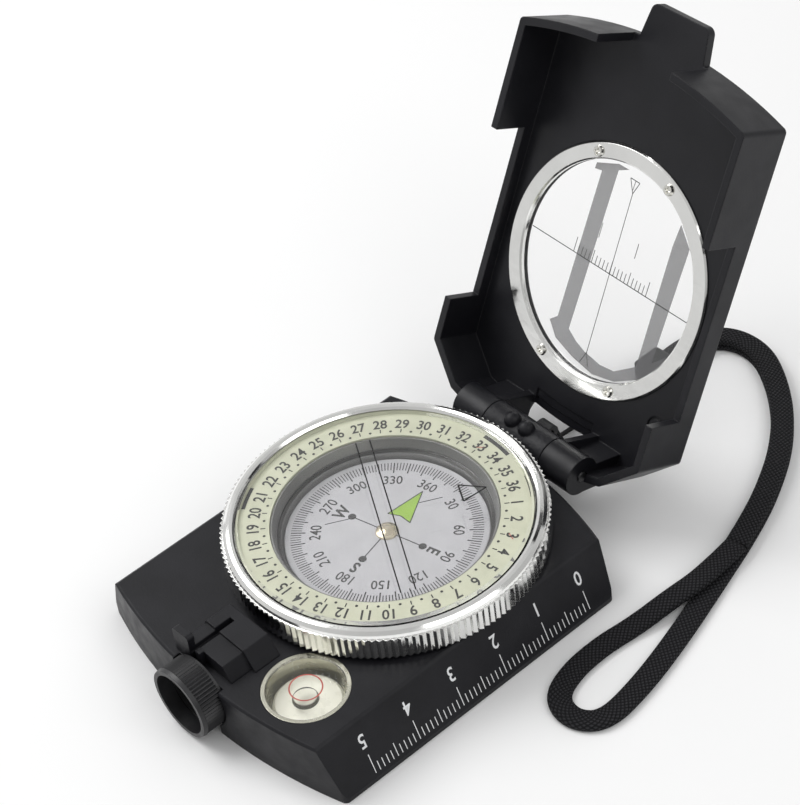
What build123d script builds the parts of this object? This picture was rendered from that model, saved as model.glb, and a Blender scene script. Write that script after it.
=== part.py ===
"""Military-pattern geology compass with a folding sighting lid and a wrist lanyard.

Frame: millimetres, +Z up, +Y the sighting direction (towards the hinge), +X the ruler side.
The origin is on the underside of the body, below the centre of the dial.
"""

from build123d import *
from math import cos, pi, radians, sin, tan
import os

# ---------------------------------------------------------------- driving dimensions
# body
BODY_HEIGHT = 11.4
BODY_HALF_WIDTH = 32.0  # at the foot of the bevels
TOP_HALF_WIDTH = 27.5  # at the top of the bevels
BEVEL_FOOT = 1.0  # height at which the side bevels begin
FRONT_Y = -44.0
REAR_Y = 29.3
FRONT_BOW = 5.0  # how far the front face bows out in the middle
REAR_BOW = 5.9
COVER_RADIUS = 22.0  # bottom cover
COVER_RECESS = 1.2
COVER_SCREWS_AT = 18.5

# rotating bezel and the dial below it
BEZEL_RADIUS = 29.3
BEZEL_BASE = 12.0
BEZEL_TOP = 18.0
KNURL_BASE = 12.3
KNURL_TOP = 16.7
KNURL_TEETH = 150
BOSS_RADIUS = 25.0
BOSS_TOP = 15.3
GROOVE_BASE = 13.1  # the snap ring's groove, shared by boss and bezel
GROOVE_HEIGHT = 0.7
NUMBER_BASE = 15.6
NUMBER_TOP = 16.3
NUMBER_RADIUS = 26.38
CRYSTAL_BASE = 17.0
CRYSTAL_THICKNESS = 1.0
RUNNING_GAP = 0.06
CAPSULE_RADIUS = 20.3
CAPSULE_TOP = 16.0
GLASS_SEAT = 13.2  # underside of the capsule's glass
WELL_FLOOR = 3.2
CARD_RADIUS = 18.3
CARD_TOP = 12.0
CARD_THICKNESS = 0.5
MAGNET_BASE = 9.7
NORTH_ANGLE = 104.0  # degrees from +X, where the card's north points

# bubble level
VIAL_X = 16.0
VIAL_Y = -32.6
VIAL_RADIUS = 7.7
VIAL_WALL = 0.7
VIAL_GLASS = 1.1

# eyepiece
EYE_Z = 7.5
EYE_RADIUS = 6.9
EYE_FRONT = 48.2  # distance in front of the origin
EYE_BACK = 42.6
EYE_SPIGOT = 3.5
SPIGOT_END = 35.5
CUP_RADIUS = 5.9  # inside the barrel
CUP_FLOOR = 1.4  # from the barrel's back
LENS_THICKNESS = 1.8

# hinge and lid
HINGE_Y = 33.2
HINGE_Z = 12.0
KNUCKLE_RADIUS = 3.8
KNUCKLE_HALF = 7.5  # half the body's knuckle, along the pin
HINGE_HALF = 15.0  # half the whole hinge
PIN_RADIUS = 1.0
BEAD_X = 1.8  # front-sight beads on the body's knuckle
BEAD_RADIUS = 1.6
OPEN_ANGLE = 116.5  # the lid's rest position, from closed
LID_HALF_WIDTH = 26.7
LID_END = 75.3  # free end, from the hinge axis
LID_BOW = 4.2
LID_OUTER = 11.2  # outer face, from the hinge axis plane
PLATE_INNER = 9.4
LID_RIM = -0.3
WALL = 1.5
WINDOW_AT = 32.5  # window centre, from the hinge axis
RING_OUTER = 23.5
RING_INNER = 20.3
RING_SCREWS = [(-8.6, 19.9), (8.6, 19.9), (-8.6, -19.9), (8.6, -19.9)]
GLASS_RADIUS = 20.8
RING_FACE = 8.9  # distances of the window's layers from the hinge axis plane
GLASS_FACE = 9.9
GLASS_BACK = 10.7
OPENING_DEPTH = 7.1  # the side openings reach this far from the hinge axis plane

# lanyard
CORD_DIAMETER = 0.9
STRAP_WIDTH = 4.3
STRAP_THICKNESS = 1.4
CRIMP_FRONT = 67.5
CRIMP_REAR = 74.0
CRIMP_X = -3.0

os.makedirs("parts", exist_ok=True)


def finish(part, name):
    """Label a finished piece and write its STEP file."""
    part.label = name
    export_step(part, f"parts/{name}.step")


def toothed(tip, root, count):
    """The corners of a ring of pointed grip teeth."""
    step = pi / count
    radii = [tip, root] * count
    return [(r * cos(i * step), r * sin(i * step)) for i, r in enumerate(radii)]


def lid_plane(off):
    """A plane parallel to the open lid, off millimetres outside the hinge axis; local y runs up the lid."""
    tilt = radians(OPEN_ANGLE)
    inward = Vector(0, -sin(tilt), -cos(tilt))
    return Plane(origin=Vector(0, HINGE_Y, HINGE_Z) - inward * off, x_dir=(1, 0, 0), z_dir=inward)


def lid_slab(inner, outer):
    """The sketch plane and thickness of a slab of the lid between two distances from the hinge axis."""
    return lid_plane(outer), outer - inner


def lid_side_plane(x):
    """A plane across the hinge at x; local x runs up the lid and local y points out of it."""
    tilt = radians(OPEN_ANGLE)
    up = Vector(0, -cos(tilt), sin(tilt))
    return Plane(origin=(x, HINGE_Y, HINGE_Z), x_dir=up, z_dir=(-1, 0, 0))


# ---------------------------------------------------------------- body
with BuildPart() as base_body:
    with BuildSketch() as outline:
        with BuildLine():
            ThreePointArc(
                (-BODY_HALF_WIDTH, FRONT_Y + FRONT_BOW),
                (0, FRONT_Y),
                (BODY_HALF_WIDTH, FRONT_Y + FRONT_BOW),
            )
            Line((BODY_HALF_WIDTH, FRONT_Y + FRONT_BOW), (BODY_HALF_WIDTH, REAR_Y - REAR_BOW))
            ThreePointArc(
                (BODY_HALF_WIDTH, REAR_Y - REAR_BOW),
                (0, REAR_Y),
                (-BODY_HALF_WIDTH, REAR_Y - REAR_BOW),
            )
            Line((-BODY_HALF_WIDTH, REAR_Y - REAR_BOW), (-BODY_HALF_WIDTH, FRONT_Y + FRONT_BOW))
        make_face()
        fillet(outline.vertices(), 1.2)
    extrude(amount=BODY_HEIGHT)
    with BuildSketch(Plane.XZ):
        Polygon(
            (-BODY_HALF_WIDTH, 0),
            (BODY_HALF_WIDTH, 0),
            (BODY_HALF_WIDTH, BEVEL_FOOT),
            (TOP_HALF_WIDTH, BODY_HEIGHT),
            (-TOP_HALF_WIDTH, BODY_HEIGHT),
            (-BODY_HALF_WIDTH, BEVEL_FOOT),
            align=None,
        )
    extrude(amount=70, both=True, mode=Mode.INTERSECT)
    chamfer(base_body.faces().sort_by(Axis.Z)[-1].edges(), 0.4)

    # boss that carries the bezel, with the groove of its snap ring
    with BuildSketch(Plane.XY.offset(BODY_HEIGHT)):
        Circle(BOSS_RADIUS)
    extrude(amount=BOSS_TOP - BODY_HEIGHT)
    with BuildSketch(Plane.XY.offset(GROOVE_BASE)):
        Circle(BOSS_RADIUS + 1)
        Circle(BOSS_RADIUS - 0.4, mode=Mode.SUBTRACT)
    extrude(amount=GROOVE_HEIGHT, mode=Mode.SUBTRACT)

    # wells of the capsule and of the bubble level
    with BuildSketch(Plane.XY.offset(WELL_FLOOR)):
        Circle(CAPSULE_RADIUS + 0.1)
        with Locations((VIAL_X, VIAL_Y)):
            Circle(VIAL_RADIUS + 0.05)
    extrude(amount=BOSS_TOP, mode=Mode.SUBTRACT)

    # seat of the eyepiece: a notch for its barrel and a bore for its spigot
    with BuildSketch(Plane.XZ.offset(EYE_BACK - 0.1)):
        with Locations((0, EYE_Z)):
            Circle(EYE_RADIUS + 0.2)
        with Locations((0, 2)):
            Rectangle(9, 4.2)
    extrude(amount=4, mode=Mode.SUBTRACT)
    with BuildSketch(Plane.XZ.offset(35)):
        with Locations((0, EYE_Z)):
            Circle(EYE_SPIGOT + RUNNING_GAP)
    extrude(amount=9, mode=Mode.SUBTRACT)

    # hinge lug, its middle knuckle and the two front-sight beads
    with BuildSketch(Plane.YZ):
        with Locations((HINGE_Y, HINGE_Z)):
            Circle(KNUCKLE_RADIUS)
        Polygon(
            (REAR_Y - 1.5, 5.8),
            (HINGE_Y, HINGE_Z - 3.6),
            (HINGE_Y, HINGE_Z),
            (HINGE_Y - 3.5, HINGE_Z - 0.1),
            (REAR_Y - 1.5, BODY_HEIGHT - 0.6),
            align=None,
        )
    extrude(amount=KNUCKLE_HALF, both=True)
    with Locations((-BEAD_X, HINGE_Y - 0.6, HINGE_Z + 3.7), (BEAD_X, HINGE_Y - 0.6, HINGE_Z + 3.7)):
        Sphere(BEAD_RADIUS)
    with BuildSketch(Plane.YZ):
        with Locations((HINGE_Y, HINGE_Z)):
            Circle(PIN_RADIUS + 0.01)
    extrude(amount=KNUCKLE_HALF + 1, both=True, mode=Mode.SUBTRACT)

    # recess and screw holes of the bottom cover
    with BuildSketch():
        Circle(COVER_RADIUS + 0.1)
    extrude(amount=COVER_RECESS, mode=Mode.SUBTRACT)
    with BuildSketch(Plane.XY.offset(COVER_RECESS)):
        with PolarLocations(COVER_SCREWS_AT, 4, start_angle=45):
            Circle(0.85)
    extrude(amount=1.5, mode=Mode.SUBTRACT)
finish(base_body.part, "base_body")

with BuildPart() as bottom_cover:
    with BuildSketch():
        Circle(COVER_RADIUS)
    extrude(amount=COVER_RECESS - 0.05)
    with Locations(Plane(origin=(0, 0, 0), z_dir=(0, 0, -1))):
        with PolarLocations(COVER_SCREWS_AT, 4, start_angle=45):
            CounterSinkHole(radius=0.85, counter_sink_radius=1.7, depth=2)
finish(bottom_cover.part, "bottom_cover")

with BuildPart() as cover_screws:
    with BuildSketch(Plane.XZ):
        with Locations((COVER_SCREWS_AT, 0)):
            Polygon((0, 0.05), (1.55, 0.05), (0.8, 0.8), (0.8, 2.6), (0, 2.6), align=None)
    revolve(axis=Axis((COVER_SCREWS_AT, 0, 0), (0, 0, 1)))
    with BuildSketch():
        with Locations((COVER_SCREWS_AT, 0)):
            Rectangle(2.2, 0.35)
            Rectangle(0.35, 2.2)
    extrude(amount=0.4, mode=Mode.SUBTRACT)
screw_set = Compound(children=[Rot(0, 0, angle) * cover_screws.part for angle in (45, 135, 225, 315)])
finish(screw_set, "cover_screws")

with BuildPart() as hinge_pin:
    with BuildSketch(Plane.YZ):
        with Locations((HINGE_Y, HINGE_Z)):
            Circle(PIN_RADIUS)
    extrude(amount=HINGE_HALF + 0.3, both=True)
    chamfer(hinge_pin.edges().filter_by(GeomType.CIRCLE), 0.2)
finish(hinge_pin.part, "hinge_pin")

with BuildPart() as lanyard_eyelet:
    with BuildSketch(Plane.YZ):
        with Locations((HINGE_Y + 4.9, HINGE_Z - 1.8)):
            SlotOverall(4.4, 2.8)
        with Locations((HINGE_Y + 5.3, HINGE_Z - 1.8)):
            Circle(0.7, mode=Mode.SUBTRACT)
    extrude(amount=1.6, both=True)
    with BuildSketch(Plane.YZ):
        with Locations((HINGE_Y, HINGE_Z)):
            Circle(KNUCKLE_RADIUS)
    extrude(amount=3, both=True, mode=Mode.SUBTRACT)
finish(lanyard_eyelet.part, "lanyard_eyelet")

# ---------------------------------------------------------------- capsule, fixed in the body
with BuildPart() as capsule_cup:
    with BuildSketch(Plane.XZ):
        Polygon(
            (0, WELL_FLOOR),
            (CAPSULE_RADIUS, WELL_FLOOR),
            (CAPSULE_RADIUS, CAPSULE_TOP),
            (20.0, CAPSULE_TOP),
            (19.35, 14.3),
            (19.35, GLASS_SEAT),
            (18.7, GLASS_SEAT),
            (18.7, WELL_FLOOR + 1),
            (0, WELL_FLOOR + 1),
            align=None,
        )
    revolve(axis=Axis.Z)
finish(capsule_cup.part, "capsule_cup")

with BuildPart() as capsule_glass:
    with BuildSketch(Plane.XY.offset(GLASS_SEAT)):
        Circle(19.3)
    extrude(amount=0.9)
finish(capsule_glass.part, "capsule_glass")

with BuildPart() as pivot_post:
    with BuildSketch(Plane.XZ):
        Polygon(
            (0, WELL_FLOOR + 1),
            (2.2, WELL_FLOOR + 1),
            (2.2, 5.0),
            (0.8, 5.6),
            (0.35, 9.4),
            (0.35, 11.3),
            (0, 11.5),
            align=None,
        )
    revolve(axis=Axis.Z)
finish(pivot_post.part, "pivot_post")

with BuildPart() as snap_ring:
    with BuildSketch(Plane.XY.offset(GROOVE_BASE + 0.1)):
        Circle(BOSS_RADIUS + 0.4)
        Circle(BOSS_RADIUS - 0.35, mode=Mode.SUBTRACT)
        with Locations((0, -BOSS_RADIUS)):
            Rectangle(3, 3, mode=Mode.SUBTRACT)
    extrude(amount=GROOVE_HEIGHT - 0.2)
finish(snap_ring.part, "snap_ring")

with BuildPart() as friction_ring:
    with BuildSketch(Plane.XY.offset(BODY_HEIGHT)):
        Circle(26.8)
        Circle(BOSS_RADIUS + 0.1, mode=Mode.SUBTRACT)
    extrude(amount=0.55)
finish(friction_ring.part, "friction_ring")

# ---------------------------------------------------------------- compass card, turning on the post
with BuildPart() as compass_card:
    with BuildSketch(Plane.XY.offset(CARD_TOP - CARD_THICKNESS)):
        Circle(CARD_RADIUS)
        Circle(1.0, mode=Mode.SUBTRACT)
    extrude(amount=CARD_THICKNESS)
    chamfer(compass_card.faces().sort_by(Axis.Z)[-1].outer_wire().edges(), 0.12)
finish(compass_card.part, "compass_card")

with BuildPart() as card_hub:
    with BuildSketch(Plane.XZ):
        Polygon(
            (0.42, 10.6),
            (0.98, 10.6),
            (0.98, CARD_TOP),
            (2.1, CARD_TOP),
            (2.0, 12.3),
            (1.3, 12.65),
            (0.5, 12.85),
            (0, 12.85),
            (0, 11.7),
            (0.42, 11.6),
            align=None,
        )
    revolve(axis=Axis.Z)
finish(card_hub.part, "card_hub")

with BuildPart() as card_magnet:
    with BuildSketch(Plane.XY.offset(MAGNET_BASE).rotated((0, 0, NORTH_ANGLE))):
        SlotOverall(26, 4.6)
        Circle(1.15, mode=Mode.SUBTRACT)
    extrude(amount=CARD_TOP - CARD_THICKNESS - MAGNET_BASE)
finish(card_magnet.part, "card_magnet")

# ---------------------------------------------------------------- rotating bezel
with BuildPart() as bezel_ring:
    with BuildSketch(Plane.XZ):
        Polygon(
            (BOSS_RADIUS + RUNNING_GAP, BEZEL_BASE),
            (28.6, BEZEL_BASE),
            (28.8, KNURL_BASE),
            (28.8, KNURL_TOP),
            (28.6, 17.3),
            (28.0, 17.8),
            (27.4, BEZEL_TOP),
            (26.9, 17.8),
            (26.4, CRYSTAL_BASE + 0.3),
            (26.4, NUMBER_BASE),
            (BOSS_RADIUS + RUNNING_GAP, NUMBER_BASE),
            align=None,
        )
    revolve(axis=Axis.Z)
    with BuildSketch(Plane.XY.offset(KNURL_BASE)):
        Polygon(*toothed(BEZEL_RADIUS, BEZEL_RADIUS - 0.4, KNURL_TEETH), align=None)
        Circle(28.0, mode=Mode.SUBTRACT)
    extrude(amount=KNURL_TOP - KNURL_BASE)
    with BuildSketch(Plane.XY.offset(GROOVE_BASE)):
        Circle(BOSS_RADIUS + 0.5)
    extrude(amount=GROOVE_HEIGHT, mode=Mode.SUBTRACT)
finish(bezel_ring.part, "bezel_ring")

with BuildPart() as number_ring:
    with BuildSketch(Plane.XZ):
        Polygon(
            (CAPSULE_RADIUS + 0.12, NUMBER_BASE),
            (NUMBER_RADIUS, NUMBER_BASE),
            (NUMBER_RADIUS, CRYSTAL_BASE),
            (26.1, CRYSTAL_BASE),
            (26.0, NUMBER_TOP),
            (CAPSULE_RADIUS + 0.12, NUMBER_TOP),
            align=None,
        )
    revolve(axis=Axis.Z)
finish(number_ring.part, "number_ring")

with BuildPart() as bezel_crystal:
    with BuildSketch(Plane.XY.offset(CRYSTAL_BASE)):
        Circle(NUMBER_RADIUS)
    extrude(amount=CRYSTAL_THICKNESS)
    chamfer(bezel_crystal.edges().sort_by(Axis.Z)[-1], 0.5)
finish(bezel_crystal.part, "bezel_crystal")

# ---------------------------------------------------------------- bubble level
with BuildPart() as vial_cup:
    with BuildSketch(Plane.XY.offset(WELL_FLOOR)):
        with Locations((VIAL_X, VIAL_Y)):
            Circle(VIAL_RADIUS)
    extrude(amount=BODY_HEIGHT - WELL_FLOOR)
    with BuildSketch(Plane.XY.offset(WELL_FLOOR + 1.2)):
        with Locations((VIAL_X, VIAL_Y)):
            Circle(VIAL_RADIUS - VIAL_WALL)
    extrude(amount=BODY_HEIGHT, mode=Mode.SUBTRACT)
finish(vial_cup.part, "vial_cup")

with BuildPart() as vial_disc:
    with BuildSketch(Plane.XY.offset(WELL_FLOOR + 1.2)):
        with Locations((VIAL_X, VIAL_Y)):
            Circle(VIAL_RADIUS - 1.5)
    extrude(amount=3.2)
    chamfer(vial_disc.faces().sort_by(Axis.Z)[-1].edges(), 0.5)
finish(vial_disc.part, "vial_disc")

with BuildPart() as vial_glass:
    with BuildSketch(Plane.XY.offset(BODY_HEIGHT - VIAL_GLASS)):
        with Locations((VIAL_X, VIAL_Y)):
            Circle(VIAL_RADIUS - VIAL_WALL)
    extrude(amount=VIAL_GLASS)
finish(vial_glass.part, "vial_glass")

# ---------------------------------------------------------------- prism housing and rear sight
HOOD_REAR = 31.0  # distances in front of the origin
HOOD_STEP = 36.4
HOOD_FRONT = 40.8

with BuildPart() as prism_housing:
    with BuildSketch(Plane.XZ.offset(HOOD_REAR)):
        Polygon(
            (-6.0, BODY_HEIGHT), (7.3, BODY_HEIGHT), (4.7, 15.0), (-5.4, 15.0), (-6.0, 14.4), align=None
        )
    extrude(amount=HOOD_STEP - HOOD_REAR)
    with BuildSketch(Plane.XZ.offset(HOOD_STEP)):
        Polygon(
            (-6.0, BODY_HEIGHT), (6.2, BODY_HEIGHT), (4.4, 14.4), (-5.4, 14.4), (-6.0, 13.8), align=None
        )
    extrude(amount=HOOD_FRONT - HOOD_STEP)
    # upright sight leaf with a nearly flat top, and the post beside its slot
    with BuildSketch(Plane.XZ.offset(HOOD_FRONT)):
        leaf = Polygon((-7.2, BODY_HEIGHT), (-2.8, BODY_HEIGHT), (-2.8, 17.2), (-7.2, 16.8), align=None)
        fillet(leaf.vertices().sort_by(Axis.Y)[-2:], 0.8)
    extrude(amount=1.4)
    with BuildSketch(Plane.XZ.offset(HOOD_FRONT)):
        with Locations((-1.2, 13.0)):
            Rectangle(1.2, 3.2)
    extrude(amount=1.0)
    # sighting slot along the top
    with Locations((-2.4, -37.5, 14.6)):
        Box(1.2, 9.0, 2.4, mode=Mode.SUBTRACT)
    # cavity for the prism, open to the rear
    with Locations((1.4, -34.4, BODY_HEIGHT + 1.3)):
        Box(4.4, 7.0, 2.6, mode=Mode.SUBTRACT)
finish(prism_housing.part, "prism_housing")

with BuildPart() as prism:
    with BuildSketch(Plane.YZ.offset(-0.6)):
        Polygon((-37.6, BODY_HEIGHT), (-33.0, BODY_HEIGHT), (-37.6, BODY_HEIGHT + 2.5), align=None)
    extrude(amount=4.0)
finish(prism.part, "prism")

# ---------------------------------------------------------------- eyepiece, turning in the body
with BuildPart() as eyepiece_barrel:
    with BuildSketch(Plane.XZ.offset(EYE_BACK + 0.5)):
        with Locations((0, EYE_Z)):
            Polygon(*toothed(EYE_RADIUS - 0.1, EYE_RADIUS - 0.4, 64), align=None)
    extrude(amount=EYE_FRONT - EYE_BACK - 1.1)
    with BuildSketch(Plane.XZ.offset(EYE_BACK)):
        with Locations((0, EYE_Z)):
            Circle(EYE_RADIUS - 0.4)
    extrude(amount=EYE_FRONT - EYE_BACK)
    with BuildSketch(Plane.XZ.offset(EYE_FRONT - 0.8)):
        with Locations((0, EYE_Z)):
            Circle(EYE_RADIUS)
    extrude(amount=0.8, taper=12)
    with BuildSketch(Plane.XZ.offset(SPIGOT_END)):
        with Locations((0, EYE_Z)):
            Circle(EYE_SPIGOT)
    extrude(amount=EYE_BACK - SPIGOT_END)
    with BuildSketch(Plane.XZ.offset(EYE_BACK + CUP_FLOOR)):
        with Locations((0, EYE_Z)):
            Circle(CUP_RADIUS)
    extrude(amount=8, mode=Mode.SUBTRACT)
    with BuildSketch(Plane.XZ.offset(35)):
        with Locations((0, EYE_Z)):
            Circle(2.2)
    extrude(amount=12, mode=Mode.SUBTRACT)
finish(eyepiece_barrel.part, "eyepiece_barrel")

with BuildPart() as eyepiece_lens:
    with BuildSketch(Plane.XZ.offset(EYE_BACK + CUP_FLOOR)):
        with Locations((0, EYE_Z)):
            Circle(CUP_RADIUS - 0.05)
    extrude(amount=LENS_THICKNESS)
    fillet(eyepiece_lens.edges().sort_by(Axis.Y)[0], 1.2)
finish(eyepiece_lens.part, "eyepiece_lens")

# ---------------------------------------------------------------- lid
LID_CORNER = LID_END - LID_BOW
HINGE_EDGE = [(8.2, 2.1), (9.5, -2.2), (19.5, 0.4), (LID_HALF_WIDTH, 7.1)]


def lid_outline():
    """The lid seen square on: hinge edge at the bottom, bowed free end at the top."""
    left = [(-x, y) for x, y in HINGE_EDGE]
    with BuildSketch(mode=Mode.PRIVATE) as face:
        with BuildLine():
            ThreePointArc(left[0], (0, 1.6), HINGE_EDGE[0])
            Polyline(*HINGE_EDGE, (LID_HALF_WIDTH, LID_CORNER))
            ThreePointArc((LID_HALF_WIDTH, LID_CORNER), (0, LID_END), (-LID_HALF_WIDTH, LID_CORNER))
            Polyline((-LID_HALF_WIDTH, LID_CORNER), *reversed(left))
        make_face()
    return face.sketch


outer_face = lid_outline()
inner_face = offset(outer_face, amount=-WALL, kind=Kind.INTERSECTION, mode=Mode.PRIVATE)

with BuildPart() as lid_body:
    plane, depth = lid_slab(LID_RIM, LID_OUTER)
    with BuildSketch(plane):
        add(outer_face)
    extrude(amount=depth)
    fillet(lid_body.edges().filter_by(Axis(plane.origin, plane.z_dir)), 1.0)

    # hollow, open towards the hinge between the knuckles
    plane, depth = lid_slab(LID_RIM - 1, PLATE_INNER)
    with BuildSketch(plane):
        add(inner_face)
        with Locations((0, 1)):
            Rectangle(2 * KNUCKLE_HALF + 0.4, 8)
    extrude(amount=depth, mode=Mode.SUBTRACT)

    # side openings that clear the bezel, and the opening in the free end
    plane, depth = lid_slab(LID_RIM - 1, OPENING_DEPTH)
    with BuildSketch(plane):
        with Locations((0, 33)):
            Rectangle(80, 34)
    extrude(amount=depth, mode=Mode.SUBTRACT)
    plane, depth = lid_slab(LID_RIM - 1, PLATE_INNER)
    with BuildSketch(plane):
        with Locations((0, 74)):
            Rectangle(17.3, 10)
    extrude(amount=depth, mode=Mode.SUBTRACT)

    # thumb tongue
    plane, depth = lid_slab(PLATE_INNER, LID_OUTER)
    with BuildSketch(plane):
        tongue = Polygon((-7.65, 74), (7.65, 74), (6.5, 81.3), (-6.5, 81.3), align=None)
        fillet(tongue.vertices().sort_by(Axis.Y)[-2:], 1.5)
    extrude(amount=depth)

    # webs and knuckles each side of the body's knuckle
    for side in (-1, 1):
        near = side * (KNUCKLE_HALF + 0.2)
        with BuildSketch(lid_side_plane(near)):
            Polygon((-3.7, 0), (-2.1, PLATE_INNER + 0.1), (3.0, PLATE_INNER + 0.1), (1.6, 0), align=None)
            Circle(KNUCKLE_RADIUS)
        extrude(amount=-side * (HINGE_HALF - KNUCKLE_HALF - 0.2))
    with BuildSketch(Plane.YZ):
        with Locations((HINGE_Y, HINGE_Z)):
            Circle(PIN_RADIUS + 0.05)
    extrude(amount=HINGE_HALF + 1, both=True, mode=Mode.SUBTRACT)

    # shallow steps along the hinge edge of the inner face
    for step_at, step_depth in ((4.9, 0.3), (3.3, 0.6)):
        with BuildSketch(lid_plane(PLATE_INNER)):
            with BuildLine():
                ThreePointArc((-14.5, step_at + 1.3), (0, step_at), (14.5, step_at + 1.3))
                Polyline((14.5, step_at + 1.3), (14.5, 1.0), (-14.5, 1.0), (-14.5, step_at + 1.3))
            make_face()
            with Locations((-12, 0), (12, 0)):
                Rectangle(9.4, 30, mode=Mode.SUBTRACT)
        extrude(amount=-step_depth, mode=Mode.SUBTRACT)

    # window: through hole, glass seat and ring seat, with the ring's screw holes
    for radius, reach in (
        (RING_INNER, LID_OUTER + 1),
        (GLASS_RADIUS + 0.05, GLASS_BACK + 0.05),
        (RING_OUTER + 0.05, GLASS_FACE),
    ):
        plane, depth = lid_slab(PLATE_INNER - 1, reach)
        with BuildSketch(plane):
            with Locations((0, WINDOW_AT)):
                Circle(radius)
        extrude(amount=depth, mode=Mode.SUBTRACT)
    plane, depth = lid_slab(PLATE_INNER, 10.9)
    with BuildSketch(plane):
        with Locations(*[(x, WINDOW_AT + y) for x, y in RING_SCREWS]):
            Circle(0.55)
    extrude(amount=depth, mode=Mode.SUBTRACT)

    # round mould mark near the hinge corner
    plane, depth = lid_slab(PLATE_INNER, PLATE_INNER + 0.3)
    with BuildSketch(plane):
        with Locations((20.6, 11.4)):
            Circle(2.0)
            Circle(1.5, mode=Mode.SUBTRACT)
    extrude(amount=depth, mode=Mode.SUBTRACT)
finish(lid_body.part, "lid_body")

with BuildPart() as window_glass:
    plane, depth = lid_slab(GLASS_FACE, GLASS_BACK)
    with BuildSketch(plane):
        with Locations((0, WINDOW_AT)):
            Circle(GLASS_RADIUS)
    extrude(amount=depth)
finish(window_glass.part, "window_glass")

with BuildPart() as window_ring:
    plane, depth = lid_slab(RING_FACE, GLASS_FACE)
    with BuildSketch(plane):
        with Locations((0, WINDOW_AT)):
            Circle(RING_OUTER)
            Circle(RING_INNER, mode=Mode.SUBTRACT)
        with Locations(*[(x, WINDOW_AT + y) for x, y in RING_SCREWS]):
            Circle(0.6, mode=Mode.SUBTRACT)
    extrude(amount=depth)
    front = window_ring.faces().sort_by(Axis(plane.origin, plane.z_dir))[-1]
    chamfer(front.edges().sort_by(SortBy.LENGTH)[-2:], 0.3)
finish(window_ring.part, "window_ring")


def ring_screw(x, y):
    """A cross-headed screw that holds the window ring, in the lid's own plane."""
    head_plane, head_depth = lid_slab(RING_FACE - 0.5, RING_FACE)
    shank_plane, shank_depth = lid_slab(RING_FACE, RING_FACE + 1.9)
    slot_plane, slot_depth = lid_slab(RING_FACE - 0.6, RING_FACE - 0.25)
    with BuildPart(mode=Mode.PRIVATE) as one:
        with BuildSketch(head_plane):
            with Locations((x, y)):
                Circle(1.1)
        extrude(amount=head_depth, taper=20)
        with BuildSketch(shank_plane):
            with Locations((x, y)):
                Circle(0.5)
        extrude(amount=shank_depth)
        with BuildSketch(slot_plane):
            with Locations((x, y)):
                Rectangle(1.2, 0.28)
                Rectangle(0.28, 1.2)
        extrude(amount=slot_depth, mode=Mode.SUBTRACT)
    return one.part


ring_screws = Compound(children=[ring_screw(x, WINDOW_AT + y) for x, y in RING_SCREWS])
finish(ring_screws, "ring_screws")

# ---------------------------------------------------------------- lanyard
STRAP_Z = STRAP_THICKNESS / 2
CORD_Z = CORD_DIAMETER / 2 + 0.02
EYELET_REAR = HINGE_Y + 7.1

LEFT_CORD = [
    (-0.7, EYELET_REAR, 9.8),
    (-1.7, 41.4, 5.3),
    (-3.4, 44.3, 1.9),
    (-4.3, 49.4, CORD_Z),
    (-4.0, 55.4, CORD_Z),
    (-3.7, 61.6, CORD_Z),
    (-3.7, CRIMP_FRONT, 1.0),
]
RIGHT_CORD = [
    (0.7, EYELET_REAR, 9.8),
    (0.9, 41.5, 5.4),
    (1.5, 44.4, 1.8),
    (1.2, 49.4, CORD_Z),
    (1.3, 55.4, CORD_Z),
    (-0.2, 61.6, CORD_Z),
    (-2.3, CRIMP_FRONT, 1.0),
]
LEAD_ROUTE = [
    (CRIMP_X, CRIMP_REAR, STRAP_THICKNESS),
    (-3.4, 80.5, STRAP_THICKNESS),
    (0.8, 86.5, STRAP_THICKNESS),
    (8.6, 87.2, STRAP_THICKNESS),
    (16.5, 82.8, STRAP_THICKNESS),
    (23.8, 76.6, STRAP_THICKNESS),
    (29.6, 69.4, STRAP_THICKNESS),
    (33.8, 62.0, STRAP_THICKNESS),
    (37.4, 54.2, STRAP_THICKNESS),
    (40.1, 46.2, STRAP_THICKNESS),
]
LOOP_ROUTE = [
    (40.1, 46.2, STRAP_Z),
    (43.7, 34.8, STRAP_Z),
    (47.3, 22.8, STRAP_Z),
    (49.9, 12.0, STRAP_Z),
    (51.0, 2.4, STRAP_Z),
    (46.7, -1.2, STRAP_Z),
    (41.3, 0.2, STRAP_Z),
    (39.0, 6.2, STRAP_Z),
    (38.6, 14.0, STRAP_Z),
    (39.6, 21.4, STRAP_Z),
    (40.7, 28.8, 3 * STRAP_Z + 0.1),
    (41.3, 37.4, 3 * STRAP_Z + 0.1),
    (40.1, 46.2, 3 * STRAP_Z),
]


def arc_radii(route):
    """The radius of the arc at each corner of a route, as large as its two runs allow."""
    radii = []
    for start, corner, end in zip(route, route[1:], route[2:]):
        before = Vector(*corner) - Vector(*start)
        after = Vector(*end) - Vector(*corner)
        half_turn = radians(before.get_angle(after)) / 2
        radii.append(0.45 * min(before.length, after.length) / tan(half_turn))
    return radii


def swept(route, name, profile, area):
    """A cord or strap along a route; profile draws its section on the plane it is given."""
    radii = arc_radii(route)
    start = Vector(*route[0])
    heading = (Vector(*route[1]) - start).normalized()
    across = heading.cross(Vector(0, 0, 1)).normalized()
    with BuildPart() as body:
        with BuildLine() as path:
            FilletPolyline(*route, radius=radii)
        with BuildSketch(Plane(origin=start, x_dir=across, z_dir=heading)):
            profile()
        sweep()
    length = sum(edge.length for edge in path.edges())
    share = body.part.volume / (area * length)
    print(name, "length", round(length, 1), "volume share", round(share, 3))
    print(name, "radii", [round(radius, 1) for radius in radii])
    finish(body.part, name)


def cord_section():
    """The round section of the thin cord."""
    Circle(CORD_DIAMETER / 2)


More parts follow.
